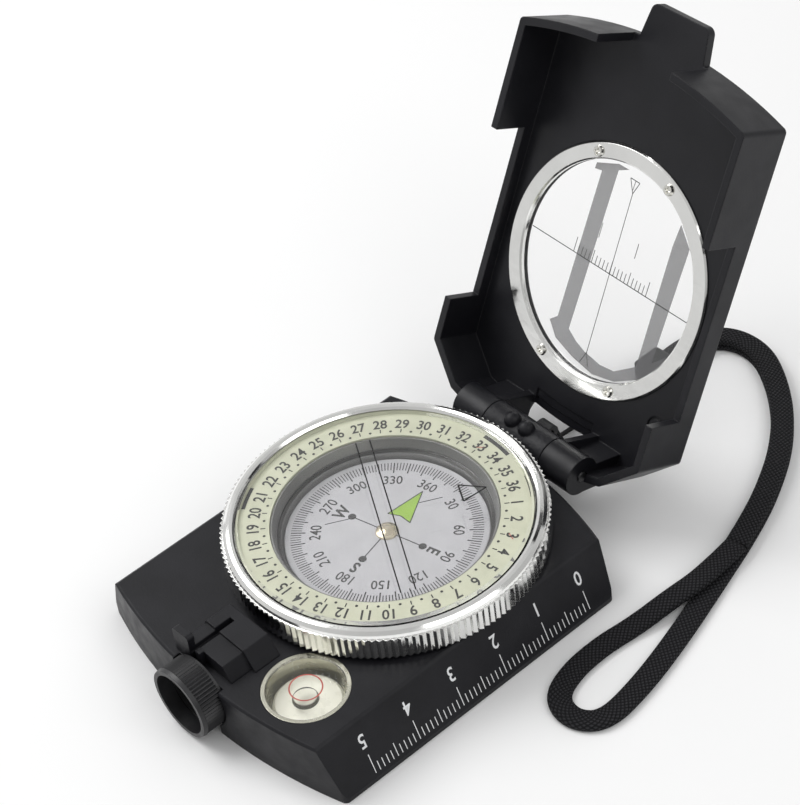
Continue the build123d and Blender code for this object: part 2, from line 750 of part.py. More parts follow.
def lead_section():
    """Two layers of the flat strap, one on the other."""
    RectangleRounded(STRAP_WIDTH, 2 * STRAP_THICKNESS, 0.6)


def loop_section():
    """One layer of the flat strap."""
    RectangleRounded(STRAP_WIDTH, STRAP_THICKNESS, 0.5)


cord_area = pi * CORD_DIAMETER**2 / 4
swept(LEFT_CORD, "lanyard_cord_left", cord_section, cord_area)
swept(RIGHT_CORD, "lanyard_cord_right", cord_section, cord_area)
swept(LEAD_ROUTE, "strap_lead", lead_section, 2 * STRAP_WIDTH * STRAP_THICKNESS)
swept(LOOP_ROUTE, "strap_loop", loop_section, STRAP_WIDTH * STRAP_THICKNESS)

with BuildPart() as strap_crimp:
    with BuildSketch(Plane.XY):
        with Locations((CRIMP_X, (CRIMP_FRONT + CRIMP_REAR) / 2)):
            RectangleRounded(6.4, CRIMP_REAR - CRIMP_FRONT, 0.8)
    extrude(amount=2 * STRAP_THICKNESS + 0.8)
    fillet(strap_crimp.faces().sort_by(Axis.Z)[-1].edges(), 0.6)
finish(strap_crimp.part, "strap_crimp")
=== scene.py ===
"""Looks of the folding geology compass: materials, printed markings with some painted shade and a painted
reflection, glass, lanyard and studio.
"""

import math

import bpy
from mathutils import Matrix, Vector


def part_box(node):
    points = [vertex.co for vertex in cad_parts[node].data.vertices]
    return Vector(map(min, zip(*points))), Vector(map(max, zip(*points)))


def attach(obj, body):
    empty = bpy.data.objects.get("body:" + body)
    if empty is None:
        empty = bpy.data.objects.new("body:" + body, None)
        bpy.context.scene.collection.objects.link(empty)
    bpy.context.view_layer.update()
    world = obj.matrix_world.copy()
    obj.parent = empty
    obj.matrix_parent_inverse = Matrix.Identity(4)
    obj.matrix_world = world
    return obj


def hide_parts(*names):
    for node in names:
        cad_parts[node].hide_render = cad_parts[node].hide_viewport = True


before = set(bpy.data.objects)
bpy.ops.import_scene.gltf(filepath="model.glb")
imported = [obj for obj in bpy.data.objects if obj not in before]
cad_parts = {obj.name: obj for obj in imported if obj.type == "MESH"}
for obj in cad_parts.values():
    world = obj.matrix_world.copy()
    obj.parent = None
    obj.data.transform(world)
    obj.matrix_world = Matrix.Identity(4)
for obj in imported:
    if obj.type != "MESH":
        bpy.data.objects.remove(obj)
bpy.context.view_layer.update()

MM = 0.001

# places that the markings share with the CAD, in millimetres and degrees
INDEX_ANGLE = 60.7  # from +X, where the bezel's 36 stands
NORTH_ANGLE = 104.0  # from +X, where the card's north points
HINGE = Vector((0, 33.2, 12.0))
OPEN_ANGLE = math.radians(116.5)
WINDOW_AT = 32.5  # window centre, from the hinge axis
GLASS_INNER = 9.9  # the window glass's near face, from the hinge axis plane
GLASS_OUTER = 10.7  # its far face, which the grey sheets of painted reflection lie on
RULER_ZERO_Y = 18.0
NUMBER_TOP = 16.3  # the number ring's printed face
PRINT_LIFT = 0.02  # how far a marking stands off what it is printed on
BODY_BACK_Y = 28.5  # behind this the body is the rough-cast hinge lug


# ---------------------------------------------------------------- camera
CAMERA_ANGLES = (54.06, 42.58, -8.38)  # azimuth from behind the eyepiece, elevation and roll
CAMERA_TARGET = Vector((-34.57, 31.93, 0))
CAMERA_DISTANCE = 493.8
FOCAL_LENGTH = 114.3
SENSOR_WIDTH = 36
CLIP_START = 0.01  # metres


def make_camera():
    """A long lens, high on the ruler side of the eyepiece."""
    azimuth, elevation, roll = (math.radians(a) for a in CAMERA_ANGLES)
    back = Vector(
        (
            math.sin(azimuth) * math.cos(elevation),
            -math.cos(azimuth) * math.cos(elevation),
            math.sin(elevation),
        )
    )
    level = Vector((math.cos(azimuth), math.sin(azimuth), 0))
    upright = back.cross(level)
    right = math.cos(roll) * level + math.sin(roll) * upright
    up = math.cos(roll) * upright - math.sin(roll) * level
    camera = bpy.data.objects.new("camera", bpy.data.cameras.new("camera"))
    bpy.context.scene.collection.objects.link(camera)
    camera.data.lens = FOCAL_LENGTH
    camera.data.sensor_width = SENSOR_WIDTH
    camera.data.clip_start = CLIP_START
    turn = Matrix((right, up, back)).transposed().to_4x4()
    place = (CAMERA_TARGET + back * CAMERA_DISTANCE) * MM
    camera.matrix_world = Matrix.Translation(place) @ turn
    bpy.context.scene.camera = camera


make_camera()


# ---------------------------------------------------------------- material tools
class Surface:
    """A material with one Principled shader, and short calls for the nodes that drive it."""

    def __init__(self, name, color, roughness=0.5, metallic=0.0):
        self.material = bpy.data.materials.new(name)
        self.material.use_nodes = True
        self.nodes = self.material.node_tree.nodes
        self.links = self.material.node_tree.links
        self.shader = self.nodes["Principled BSDF"]
        self.output = self.nodes["Material Output"]
        self.shader.inputs["Base Color"].default_value = (*color, 1)
        self.shader.inputs["Roughness"].default_value = roughness
        self.shader.inputs["Metallic"].default_value = metallic
        self.place = self.nodes.new("ShaderNodeTexCoord").outputs["Object"]

    def noise(self, size_mm, detail=3.0, stretch=(1, 1, 1), where=None):
        """Noise with features of that size."""
        mapping = self.nodes.new("ShaderNodeMapping")
        mapping.inputs["Scale"].default_value = [1 / (size_mm * MM * s) for s in stretch]
        self.links.new(where or self.place, mapping.inputs["Vector"])
        noise = self.nodes.new("ShaderNodeTexNoise")
        noise.inputs["Scale"].default_value = 1.0
        noise.inputs["Detail"].default_value = detail
        self.links.new(mapping.outputs["Vector"], noise.inputs["Vector"])
        return noise.outputs["Fac"]

    def spread(self, source, low, high, start=0.3, end=0.7):
        """The source's range start to end, turned into low to high."""
        node = self.nodes.new("ShaderNodeMapRange")
        for name, value in (
            ("From Min", start), ("From Max", end), ("To Min", low), ("To Max", high)
        ):
            node.inputs[name].default_value = value
        self.links.new(source, node.inputs["Value"])
        return node.outputs["Result"]

    def blend(self, source, low, high, start=0.3, end=0.7):
        """A colour between low and high by the source."""
        ramp = self.nodes.new("ShaderNodeValToRGB")
        ramp.color_ramp.elements[0].position = start
        ramp.color_ramp.elements[1].position = end
        ramp.color_ramp.elements[0].color = (*low, 1)
        ramp.color_ramp.elements[1].color = (*high, 1)
        self.links.new(source, ramp.inputs["Fac"])
        return ramp.outputs["Color"]

    def math(self, operation, a, b=0.0):
        """A Math node on sockets or numbers."""
        node = self.nodes.new("ShaderNodeMath")
        node.operation = operation
        for socket, value in zip(node.inputs, (a, b)):
            if isinstance(value, (int, float)):
                socket.default_value = value
            else:
                self.links.new(value, socket)
        return node.outputs["Value"]

    def specular(self, level):
        """How strongly the surface mirrors its surroundings."""
        self.shader.inputs["Specular IOR Level"].default_value = level

    def color(self, source):
        """Drives the base colour."""
        self.links.new(source, self.shader.inputs["Base Color"])

    def roughness(self, source):
        """Drives the roughness."""
        self.links.new(source, self.shader.inputs["Roughness"])

    def relief(self, height, depth_mm, edge_mm=0.0):
        """Bump of that depth, on edges rounded by edge_mm."""
        bump = self.nodes.new("ShaderNodeBump")
        bump.inputs["Distance"].default_value = depth_mm * MM
        self.links.new(height, bump.inputs["Height"])
        if edge_mm:
            bevel = self.nodes.new("ShaderNodeBevel")
            bevel.samples = 4
            bevel.inputs["Radius"].default_value = edge_mm * MM
            self.links.new(bevel.outputs["Normal"], bump.inputs["Normal"])
        self.links.new(bump.outputs["Normal"], self.shader.inputs["Normal"])


def black_paint():
    """Satin black enamel on die-cast alloy, rough-cast on the hinge lug."""
    s = Surface("black_paint", (0.010, 0.010, 0.012))
    s.specular(0.24)
    s.color(s.blend(s.noise(9), (0.007, 0.007, 0.009), (0.012, 0.012, 0.015)))
    s.roughness(s.spread(s.noise(3, 4), 0.36, 0.50))
    fine = s.noise(0.35, 2)
    axes = s.nodes.new("ShaderNodeSeparateXYZ")
    s.links.new(s.place, axes.inputs["Vector"])
    behind = s.math("GREATER_THAN", axes.outputs["Y"], BODY_BACK_Y * MM)
    cast = s.math("MULTIPLY", s.math("MULTIPLY", s.noise(0.8, 3), behind), 5.0)
    s.relief(s.math("ADD", fine, cast), 0.02, 0.35)
    return s.material


def lid_paint():
    """The lid's satin black enamel."""
    s = Surface("lid_paint", (0.010, 0.010, 0.012))
    s.specular(0.28)
    s.color(s.blend(s.noise(12), (0.007, 0.007, 0.009), (0.012, 0.012, 0.015)))
    s.roughness(s.spread(s.noise(4, 4), 0.34, 0.46))
    s.relief(s.noise(0.35, 2), 0.015, 0.35)
    return s.material


def polished(name, tone, low, high, edge=0.15):
    """Bright plated metal with faint wiping marks."""
    s = Surface(name, tone, low, 1.0)
    s.roughness(s.spread(s.noise(5, 5, (1, 1, 0.2)), low, high))
    s.color(s.blend(s.noise(7), [c * 0.92 for c in tone], tone))
    s.relief(s.noise(1.5, 2), 0.004, edge)
    return s.material


def moulded(name, low, high, roughness, grain_mm=0.4, depth=0.01, edge=0.15):
    """Moulded or printed plastic with slight mottling."""
    s = Surface(name, low, roughness)
    s.color(s.blend(s.noise(4, 4), low, high))
    s.roughness(s.spread(s.noise(2), roughness - 0.06, roughness + 0.06))
    s.relief(s.noise(grain_mm), depth, edge)
    return s.material


def clear(name, tint=(1, 1, 1), index=1.45, low=0.0, high=0.03):
    """Clear glass that lets the lamps through to what it covers."""
    s = Surface(name, tint, low)
    s.shader.inputs["Transmission Weight"].default_value = 1.0
    s.specular(0.25)
    s.shader.inputs["IOR"].default_value = index
    s.roughness(s.spread(s.noise(6), low, high))
    open_to_light = s.nodes.new("ShaderNodeBsdfTransparent")
    mix = s.nodes.new("ShaderNodeMixShader")
    rays = s.nodes.new("ShaderNodeLightPath")
    s.links.new(rays.outputs["Is Shadow Ray"], mix.inputs["Fac"])
    s.links.new(s.shader.outputs["BSDF"], mix.inputs[1])
    s.links.new(open_to_light.outputs["BSDF"], mix.inputs[2])
    s.links.new(mix.outputs["Shader"], s.output.inputs["Surface"])
    return s.material


def film(name, tone, opacity):
    """A thin translucent grey sheet on the window glass: a painted reflection."""
    s = Surface(name, tone, 0.35)
    s.color(s.blend(s.noise(5), [c * 0.93 for c in tone], tone))
    s.shader.inputs["Alpha"].default_value = opacity
    return s.material


YARN_ALONG = 1.9  # length of one crossing of the braid's yarns, along the strap
YARN_ACROSS = 1.7  # and around it


def woven(name):
    """Tubular braid: two sets of crossing yarns, from the strap's own length and girth in millimetres."""
    s = Surface(name, (0.012, 0.012, 0.013), 0.75)
    s.specular(0.25)
    axes = s.nodes.new("ShaderNodeSeparateXYZ")
    s.links.new(s.nodes.new("ShaderNodeUVMap").outputs["UV"], axes.inputs["Vector"])
    along = s.math("MULTIPLY", axes.outputs["X"], 2 * math.pi / YARN_ALONG)
    across = s.math("MULTIPLY", axes.outputs["Y"], 2 * math.pi / YARN_ACROSS)
    one = s.math("SINE", s.math("ADD", along, across))
    other = s.math("SINE", s.math("SUBTRACT", along, across))
    yarn = s.math("ABSOLUTE", s.math("MULTIPLY", one, other))
    fibre = s.math("MULTIPLY", s.noise(0.12, 2), 0.3)
    height = s.math("ADD", yarn, fibre)
    # painted shade: the colour darkens into the hollows between the yarns
    s.color(s.blend(yarn, (0.003, 0.003, 0.004), (0.024, 0.024, 0.027), 0.05, 0.8))
    s.roughness(s.spread(yarn, 0.9, 0.65))
    s.relief(height, 0.25)
    return s.material


def braided(name):
    """Fine round cord."""
    s = Surface(name, (0.010, 0.010, 0.011), 0.7)
    s.specular(0.25)
    s.color(s.blend(s.noise(0.3), (0.006, 0.006, 0.007), (0.02, 0.02, 0.021)))
    s.relief(s.noise(0.25, 1), 0.06)
    return s.material


# ---------------------------------------------------------------- lanyard
STRAP_WIDTH = 4.3
STRAP_THICKNESS = 1.4
CORD_DIAMETER = 0.9
STRAP_Z = STRAP_THICKNESS / 2
CORD_Z = CORD_DIAMETER / 2 + 0.02
CROSSING_Z = 3 * STRAP_Z + 0.1  # where the loop's second side passes over its first
LEFT_CORD = [
    (-0.7, 40.3, 9.8),
    (-1.7, 41.4, 5.3),
    (-3.4, 44.3, 1.9),
    (-4.3, 49.4, CORD_Z),
    (-4.0, 55.4, CORD_Z),
    (-3.7, 61.6, CORD_Z),
    (-3.7, 67.5, 1.0),
]
RIGHT_CORD = [
    (0.7, 40.3, 9.8),
    (0.9, 41.5, 5.4),
    (1.5, 44.4, 1.8),
    (1.2, 49.4, CORD_Z),
    (1.3, 55.4, CORD_Z),
    (-0.2, 61.6, CORD_Z),
    (-2.3, 67.5, 1.0),
]
LEAD_ROUTE = [
    (-3.0, 74.0, STRAP_THICKNESS),
    (-3.4, 80.5, STRAP_THICKNESS),
    (0.8, 86.5, STRAP_THICKNESS),
    (8.6, 87.2, STRAP_THICKNESS),
    (16.5, 82.8, STRAP_THICKNESS),
    (23.8, 76.6, STRAP_THICKNESS),
    (29.6, 69.4, STRAP_THICKNESS),
    (33.8, 62.0, STRAP_THICKNESS),
    (37.4, 54.2, STRAP_THICKNESS),
    (40.1, 46.2, STRAP_THICKNESS),
]
LOOP_ROUTE = [
    (40.1, 46.2, STRAP_Z),
    (43.7, 34.8, STRAP_Z),
    (47.3, 22.8, STRAP_Z),
    (49.9, 12.0, STRAP_Z),
    (51.0, 2.4, STRAP_Z),
    (46.7, -1.2, STRAP_Z),
    (41.3, 0.2, STRAP_Z),
    (39.0, 6.2, STRAP_Z),
    (38.6, 14.0, STRAP_Z),
    (39.6, 21.4, STRAP_Z),
    (40.7, 28.8, CROSSING_Z),
    (41.3, 37.4, CROSSING_Z),
    (40.1, 46.2, 3 * STRAP_Z),
]


def route_curve(name, route):
    """A smooth NURBS curve with the route's points as its control points."""
    curve = bpy.data.curves.new(name, "CURVE")
    curve.dimensions = "3D"
    curve.resolution_u = 12
    spline = curve.splines.new("NURBS")
    spline.points.add(len(route) - 1)
    for point, place in zip(spline.points, route):
        point.co = (*(Vector(place) * MM), 1)
    spline.order_u = 3
    spline.use_endpoint_u = True
    piece = bpy.data.objects.new(name, curve)
    bpy.context.scene.collection.objects.link(piece)
    return piece


def line_of(route):
    """The points of a route's smooth line, in metres."""
    carrier = route_curve("route", route)
    mesh = bpy.data.meshes.new_from_object(carrier)
    line = [v.co.copy() for v in mesh.vertices]
    curve = carrier.data
    bpy.data.objects.remove(carrier)
    bpy.data.curves.remove(curve)
    bpy.data.meshes.remove(mesh)
    return line


def length_of(line):
    """The length of a line of points."""
    return sum((b - a).length for a, b in zip(line, line[1:]))


def strap_section(layers):
    """Half-round edges on each layer, in millimetres, with a crease between two layers."""
    half = STRAP_THICKNESS / 2
    bulge = half * 0.9
    reach = STRAP_WIDTH / 2 - bulge
    centres = [(i - (layers - 1) / 2) * STRAP_THICKNESS for i in range(layers)]
    right = []
    for middle in centres:
        for degrees in range(-84, 85, 28):
            angle = math.radians(degrees)
            right.append((reach + bulge * math.cos(angle), middle + half * math.sin(angle)))
    flat = [(x / 3 * reach, layers * half) for x in (2, 1, 0, -1, -2)]
    left = [(-x, -y) for x, y in right]
    return right + flat + left + [(-x, -y) for x, y in flat]


def strap_mesh(name, line, layers):
    """The strap's skin along a line, on its broad side, with the weave's coordinates in millimetres."""
    section = strap_section(layers)
    around = [0.0]
    for a, b in zip(section, section[1:] + section[:1]):
        around.append(around[-1] + math.dist(a, b))
    points = []
    travelled = [0.0]
    for i, place in enumerate(line):
        ahead = line[min(i + 1, len(line) - 1)] - line[max(i - 1, 0)]
        side = ahead.cross(Vector((0, 0, 1))).normalized()
        up = side.cross(ahead).normalized()
        points += [place + side * x * MM + up * y * MM for x, y in section]
        if i:
            travelled.append(travelled[-1] + (place - line[i - 1]).length / MM)
    count = len(section)
    faces, coordinates = [], []
    for i in range(len(line) - 1):
        for j in range(count):
            k = (j + 1) % count
            faces.append((i * count + j, i * count + k, (i + 1) * count + k, (i + 1) * count + j))
            near, far = travelled[i], travelled[i + 1]
            coordinates += [(near, around[j]), (near, around[j + 1])]
            coordinates += [(far, around[j + 1]), (far, around[j])]
    for cap in (range(count), range(len(points) - count, len(points))):
        faces.append(tuple(cap))
        coordinates += [(0, 0)] * count
    mesh = bpy.data.meshes.new(name)
    mesh.from_pydata(points, [], faces)
    layer = mesh.uv_layers.new(name="weave")
    for corner, place in zip(layer.data, coordinates):
        corner.uv = place
    mesh.shade_smooth()
    return mesh


def make_strap(name, route, layers, node, material):
    """A flat woven strap along a route."""
    line = line_of(route)
    mesh = strap_mesh(name, line, layers)
    mesh.materials.append(material)
    piece = bpy.data.objects.new(name, mesh)
    bpy.context.scene.collection.objects.link(piece)
    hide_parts(node)
    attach(piece, "base")


def make_cord(name, route, node, material):
    """One strand of the fine cord between the eyelet and the crimp."""
    piece = route_curve(name, route)
    piece.data.bevel_depth = CORD_DIAMETER / 2 * MM
    piece.data.bevel_resolution = 4
    piece.data.use_fill_caps = True
    piece.data.materials.append(material)
    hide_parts(node)
    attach(piece, "base")
    length_of(line_of(route))


cord_braid = braided("cord_braid")
strap_weave = woven("strap_weave")
make_cord("fine_cord_left", LEFT_CORD, "lanyard_cord_left", cord_braid)
make_cord("fine_cord_right", RIGHT_CORD, "lanyard_cord_right", cord_braid)
make_strap("strap_doubled", LEAD_ROUTE, 2, "strap_lead", strap_weave)
make_strap("strap_loop_end", LOOP_ROUTE, 1, "strap_loop", strap_weave)


# ---------------------------------------------------------------- inks
INK = moulded("ink", (0.006, 0.006, 0.006), (0.012, 0.012, 0.012), 0.5, edge=0)
WHITE_INK = moulded("white_ink", (0.72, 0.73, 0.74), (0.85, 0.86, 0.87), 0.5, edge=0)
RED_INK = moulded("red_ink", (0.42, 0.07, 0.05), (0.50, 0.10, 0.08), 0.5, edge=0)
GREEN_INK = moulded("green_ink", (0.20, 0.36, 0.01), (0.25, 0.43, 0.02), 0.5, edge=0)


# ---------------------------------------------------------------- CAD nodes that are kept
def dress(material, *names):
    """Gives carried-over CAD nodes their material."""
    for name in names:
        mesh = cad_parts[name].data
        mesh.materials.clear()
        mesh.materials.append(material)


bright = polished("bright_plate", (0.93, 0.93, 0.91), 0.06, 0.18)
steel = polished("steel", (0.55, 0.55, 0.54), 0.2, 0.35)
brass = polished("brass", (0.70, 0.62, 0.46), 0.18, 0.32)
plastic = moulded("black_plastic", (0.010, 0.010, 0.011), (0.018, 0.018, 0.020), 0.42, 0.3, 0.01, 0.1)
dress(black_paint(), "base_body", "bottom_cover", "prism_housing")
dress(lid_paint(), "lid_body")
dress(bright, "bezel_ring", "window_ring")
dress(polished("screw_plate", (0.80, 0.79, 0.74), 0.1, 0.22, 0.08), "ring_screws")
dress(steel, "cover_screws", "snap_ring", "card_magnet")
dress(brass, "card_hub", "pivot_post")
dress(polished("capsule_wall", (0.27, 0.27, 0.26), 0.28, 0.45), "capsule_cup")
dress(plastic, "eyepiece_barrel", "strap_crimp", "friction_ring", "hinge_pin", "lanyard_eyelet")
dress(moulded("luminous", (0.42, 0.43, 0.32), (0.48, 0.49, 0.37), 0.45), "number_ring")
dress(moulded("card_face", (0.37, 0.37, 0.385), (0.41, 0.41, 0.425), 0.5), "compass_card")
dress(moulded("vial_cream", (0.74, 0.73, 0.62), (0.82, 0.81, 0.70), 0.3), "vial_disc")
dress(polished("vial_wall", (0.58, 0.57, 0.48), 0.16, 0.30), "vial_cup")
dress(clear("clear"), "bezel_crystal", "capsule_glass", "vial_glass", "window_glass", "prism")
dress(clear("eyepiece_glass", (0.55, 0.57, 0.62), 1.5), "eyepiece_lens")


# ---------------------------------------------------------------- printed markings, and painted shade and a painted reflection drawn like print
def glyph_mesh(text, bold):
    """The built-in font's outline of a text as (points, faces), its strokes widened by bold."""
    curve = bpy.data.curves.new("glyph", "FONT")
    curve.body = text
    curve.offset = bold
    curve.resolution_u = 3
    curve.align_x = "CENTER"
    carrier = bpy.data.objects.new("glyph", curve)
    mesh = bpy.data.meshes.new_from_object(carrier)
    points = [v.co.xy.copy() for v in mesh.vertices]
    faces = [tuple(f.vertices) for f in mesh.polygons]
    bpy.data.objects.remove(carrier)
    bpy.data.curves.remove(curve)
    bpy.data.meshes.remove(mesh)
    return points, faces


zero_points = glyph_mesh("0", 0)[0]
ZERO_LOW = min(p.y for p in zero_points)
ZERO_HEIGHT = max(p.y for p in zero_points) - ZERO_LOW


def polar(radius, degrees):
    """A point at a radius and an angle from +X."""
    angle = math.radians(degrees)
    return Vector((radius * math.cos(angle), radius * math.sin(angle)))


class Print:
    """Flat markings on one plane, in millimetres, gathered into one thin mesh."""

    def __init__(self):
        self.points = []
        self.faces = []

    def shape(self, points, faces=None):
        """A polygon, or the faces given between the points."""
        first = len(self.points)
        self.points += [Vector(p).to_3d() for p in points]
        for face in faces or [range(len(points))]:
            self.faces.append([first + i for i in face])

    def line(self, start, end, width):
        """A straight stroke."""
        start, end = Vector(start), Vector(end)
        side = (end - start).orthogonal().normalized() * width / 2
        self.shape([start - side, end - side, end + side, start + side])

    def outline(self, corners, width):
        """A closed outline of strokes."""
        for a, b in zip(corners, corners[1:] + corners[:1]):
            self.line(a, b, width)

    def band(self, inner, outer, start, end, centre=(0, 0), steps=48):
        """A ring or an arc of it between two angles."""
        angles = [start + (end - start) * i / steps for i in range(steps + 1)]
        middle = Vector(centre)
        near = [middle + polar(inner, a) for a in angles]
        far = [middle + polar(outer, a) for a in angles]
        quads = [(i, steps + 1 + i, steps + 2 + i, i + 1) for i in range(steps)]
        self.shape(near + far, quads)

    def dot(self, centre, radius):
        """A round dot."""
        self.shape([Vector(centre) + polar(radius, a) for a in range(0, 360, 20)])

    def text(self, text, at, height, turn=0.0, narrow=0.86, bold=0.012):
        """Text centred at a point; turn is in degrees, and 0 puts its top towards +Y."""
        points, faces = glyph_mesh(text, bold)
        scale = height / ZERO_HEIGHT
        spin = Matrix.Rotation(math.radians(turn), 2)
        drop = Vector((0, ZERO_LOW + ZERO_HEIGHT / 2))
        placed = []
        for point in points:
            local = (point - drop) * scale
            placed.append(Vector(at) + spin @ Vector((local.x * narrow, local.y)))
        self.shape(placed, faces)

    def build(self, name, material, plane, body):
        """The piece itself; plane takes its millimetres into the frame."""
        mesh = bpy.data.meshes.new(name)
        mesh.from_pydata([plane @ (p * MM) for p in self.points], [], self.faces)
        mesh.materials.append(material)
        piece = bpy.data.objects.new(name, mesh)
        bpy.context.scene.collection.objects.link(piece)
        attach(piece, body)


def level_plane(height):
    """A horizontal plane at that height, lifted by a print's thickness."""
    return Matrix.Translation((0, 0, (height + PRINT_LIFT) * MM))


def lid_plane(off, up_lid):
    """A plane of the open lid at a distance outside the hinge axis; its origin is up_lid from the axis."""
    up = Vector((0, -math.cos(OPEN_ANGLE), math.sin(OPEN_ANGLE)))
    inward = Vector((0, -math.sin(OPEN_ANGLE), -math.cos(OPEN_ANGLE)))
    turn = Matrix((Vector((1, 0, 0)), up, inward)).transposed().to_4x4()
    origin = HINGE - inward * (off - PRINT_LIFT) + up * up_lid
    return Matrix.Translation(origin * MM) @ turn


def top_of(node):
    """The height of a CAD node's top, in millimetres."""
    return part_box(node)[1].z / MM


def number_angle(number):
    """The angle from +X of a number on the bezel's ring of 36."""
    return INDEX_ANGLE - 10.0 * number


# black bars of painted shade at the luminous ring's rim, where the bezel's notches shade it; they go out
# in ink with the numbers
RIM_SHADE_OUTER = 25.98
RIM_SHADE_BARS = ((20.2, 21.4, 25.3), (32.7, 34.2, 25.2), (35.6, 36.8, 25.8))  # numbers from, to, inner radius


def print_number_ring():
    """Numbers 1 to 36 with their ticks and half-way dots, black bars of painted shade at the rim, and red
    marks.
    """
    middle, height = 23.35, 2.15
    tick_inner, tick_outer, dot_at = 21.1, 22.0, 21.4
    ink = Print()
    for number in range(1, 37):
        angle = number_angle(number)
        ink.text(str(number), polar(middle, angle), height, angle - 90, bold=0.02)
        ink.line(polar(tick_inner, angle), polar(tick_outer, angle), 0.22)
        ink.dot(polar(dot_at, angle + 5), 0.26)
    # painted shade: the dark bars at the ring's rim
    for start, end, inner in RIM_SHADE_BARS:
        ink.band(inner, RIM_SHADE_OUTER, number_angle(start), number_angle(end), steps=12)
    plane = level_plane(NUMBER_TOP)
    ink.build("ring_numbers_and_rim_shade", INK, plane, "bezel")
    red = Print()
    for number in (3, 33):
        angle = number_angle(number)
        red.line(polar(22.6, angle + 1), polar(23.7, angle - 2), 0.2)
    red.build("ring_red_marks", RED_INK, plane, "bezel")


def print_crystal():
    """Two parallel lines, the index triangle and its axis on the turning crystal."""
    along = polar(1, INDEX_ANGLE)
    across = polar(1, INDEX_ANGLE + 90)
    half_gap = 1.3
    tip, foot, half_width = along * 18.5, along * 13.9, across * 2.1
    ink = Print()
    for side in (-1, 1):
        offset = along * side * half_gap
        ink.line(across * 18.4 + offset, across * -20.0 + offset, 0.24)
        ink.line(along * side * 6.3, along * side * 10.6, 0.14)
    ink.outline([tip, foot + half_width, foot - half_width], 0.32)
    plane = level_plane(top_of("bezel_crystal"))
    ink.build("crystal_lines", INK, plane, "bezel")


def print_card():
    """Degree ticks, numbers every 30 degrees, the W, E and S letters, and the north arrow."""
    tick_outer, number_at, letter_at, dot_at, hub = 17.2, 12.8, 9.9, 7.6, 1.7
    ink = Print()
    for degree in range(0, 360, 2):
        angle = NORTH_ANGLE - degree
        tick_inner, width = (14.6, 0.24) if degree % 10 == 0 else (15.3, 0.18)
        ink.line(polar(tick_inner, angle), polar(tick_outer, angle), width)
    for degree in range(30, 361, 30):
        angle = NORTH_ANGLE - degree
        ink.text(str(degree), polar(number_at, angle), 2.0, angle - 90)
    for letter, degree in (("E", 90), ("S", 180), ("W", 270)):
        angle = NORTH_ANGLE - degree
        ink.text(letter, polar(letter_at, angle), 2.3, angle - 90, bold=0.03)
        ink.dot(polar(dot_at, angle), 0.75)
        ink.line(polar(hub, angle), polar(dot_at, angle), 0.22)
    north = polar(1, NORTH_ANGLE)
    east = polar(1, NORTH_ANGLE - 90)
    arrow = [north * 11.3, north * 3.7 + east * 2.4, north * 4.3, north * 3.7 - east * 2.4]
    ink.outline(arrow, 0.2)
    card = top_of("compass_card")
    ink.build("card_marks", INK, level_plane(card), "card")
    fill = Print()
    fill.shape(arrow, [(0, 1, 2), (0, 2, 3)])
    fill.build("north_arrow", GREEN_INK, level_plane(card - 0.01), "card")


SHORT_TICK = 1.8


def tick_length(tick, long_every, longest, middling):
    """The length of a scale's tick: every fifth is a middling one, unless it is a long one."""
    if tick % long_every == 0:
        return longest
    return middling if tick % 5 == 0 else SHORT_TICK


def print_ruler():
    """The centimetre ruler on the right bevel, read from the hinge towards the eyepiece."""
    foot = Vector((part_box("base_body")[1].x / MM, 0, 1.0))
    top = Vector((27.5, 0, 11.4))
    down = (foot - top).normalized()
    outward = Vector((-down.z, 0, down.x))
    turn = Matrix((Vector((0, -1, 0)), down, outward)).transposed().to_4x4()
    origin = top + Vector((0, RULER_ZERO_Y, 0)) + outward * PRINT_LIFT
    span = (foot - top).length
    edge = 0.93 * span
    ink = Print()
    for tick in range(51):
        length = tick_length(tick, 10, 3.8, 2.65)
        ink.line((tick, edge - length), (tick, edge), 0.16)
    for number in range(6):
        ink.text(str(number), (10 * number, 0.36 * span), 2.7, 0, 0.8)
    plane = Matrix.Translation(origin * MM) @ turn
    ink.build("ruler", WHITE_INK, plane, "base")


def print_window():
    """Cross lines, sighting scale and sight marks on the lid's window."""
    ink = Print()
    ink.line((-19.4, 0.3), (19.9, -0.6), 0.17)
    ink.line((0.5, 15.6), (0.8, -15.9), 0.15)
    for tick in range(21):
        x = -8.6 + 0.915 * tick
        foot = -0.16 - 0.023 * x
        ink.line((x, foot), (x + 0.05, foot + tick_length(tick, 20, 2.9, 2.5)), 0.15)
    for x in (-4.0, 5.0):
        ink.line((x, 4.9), (x, 7.8), 0.15)
    ink.outline([(-0.9, 18.0), (1.4, 17.9), (0.5, 15.5)], 0.16)
    ink.line((0.3, 16.1), (0.4, 17.9), 0.14)
    ink.line((-0.2, -18.4), (0.8, -15.9), 0.15)
    ink.line((1.9, -18.4), (0.8, -15.9), 0.15)
    plane = lid_plane(GLASS_INNER, WINDOW_AT)
    ink.build("window_marks", INK, plane, "lid")


# the window's painted reflection: grey sheets standing in for what the glass mirrors, to the right and up
# the lid from the window's centre
REFLECTION_PANELS = (
    ((-9.6, 16.0), (-7.9, 16.3), (-4.3, 17.9), (-2.0, 19.0), (-4.6, 19.0), (-9.5, 17.2)),
    ((-8.3, -13.0), (-5.0, -14.0), (-4.3, 17.9), (-7.9, 16.3)),
    ((-9.9, -14.4), (-5.0, -14.0), (-8.3, -13.0)),
    ((11.9, -13.4), (14.9, -11.2), (15.5, 11.5), (12.2, 14.8), (11.8, 10.4)),
)
REFLECTION_FOOT = (  # inner and outer edge of the curved strip that joins the panels below
    ((-5.0, -14.0), (-9.9, -14.4)),
    ((-2.6, -15.4), (-7.4, -17.0)),
    ((0, -16.3), (-2.6, -18.5)),
    ((4.1, -16.9), (3.0, -19.4)),
    ((7.5, -16.5), (8.2, -18.3)),
    ((11.9, -13.4), (12.8, -15.6)),
    ((14.9, -11.2), (15.6, -12.9)),
    ((18.4, -7.9), (18.4, -7.9)),
)


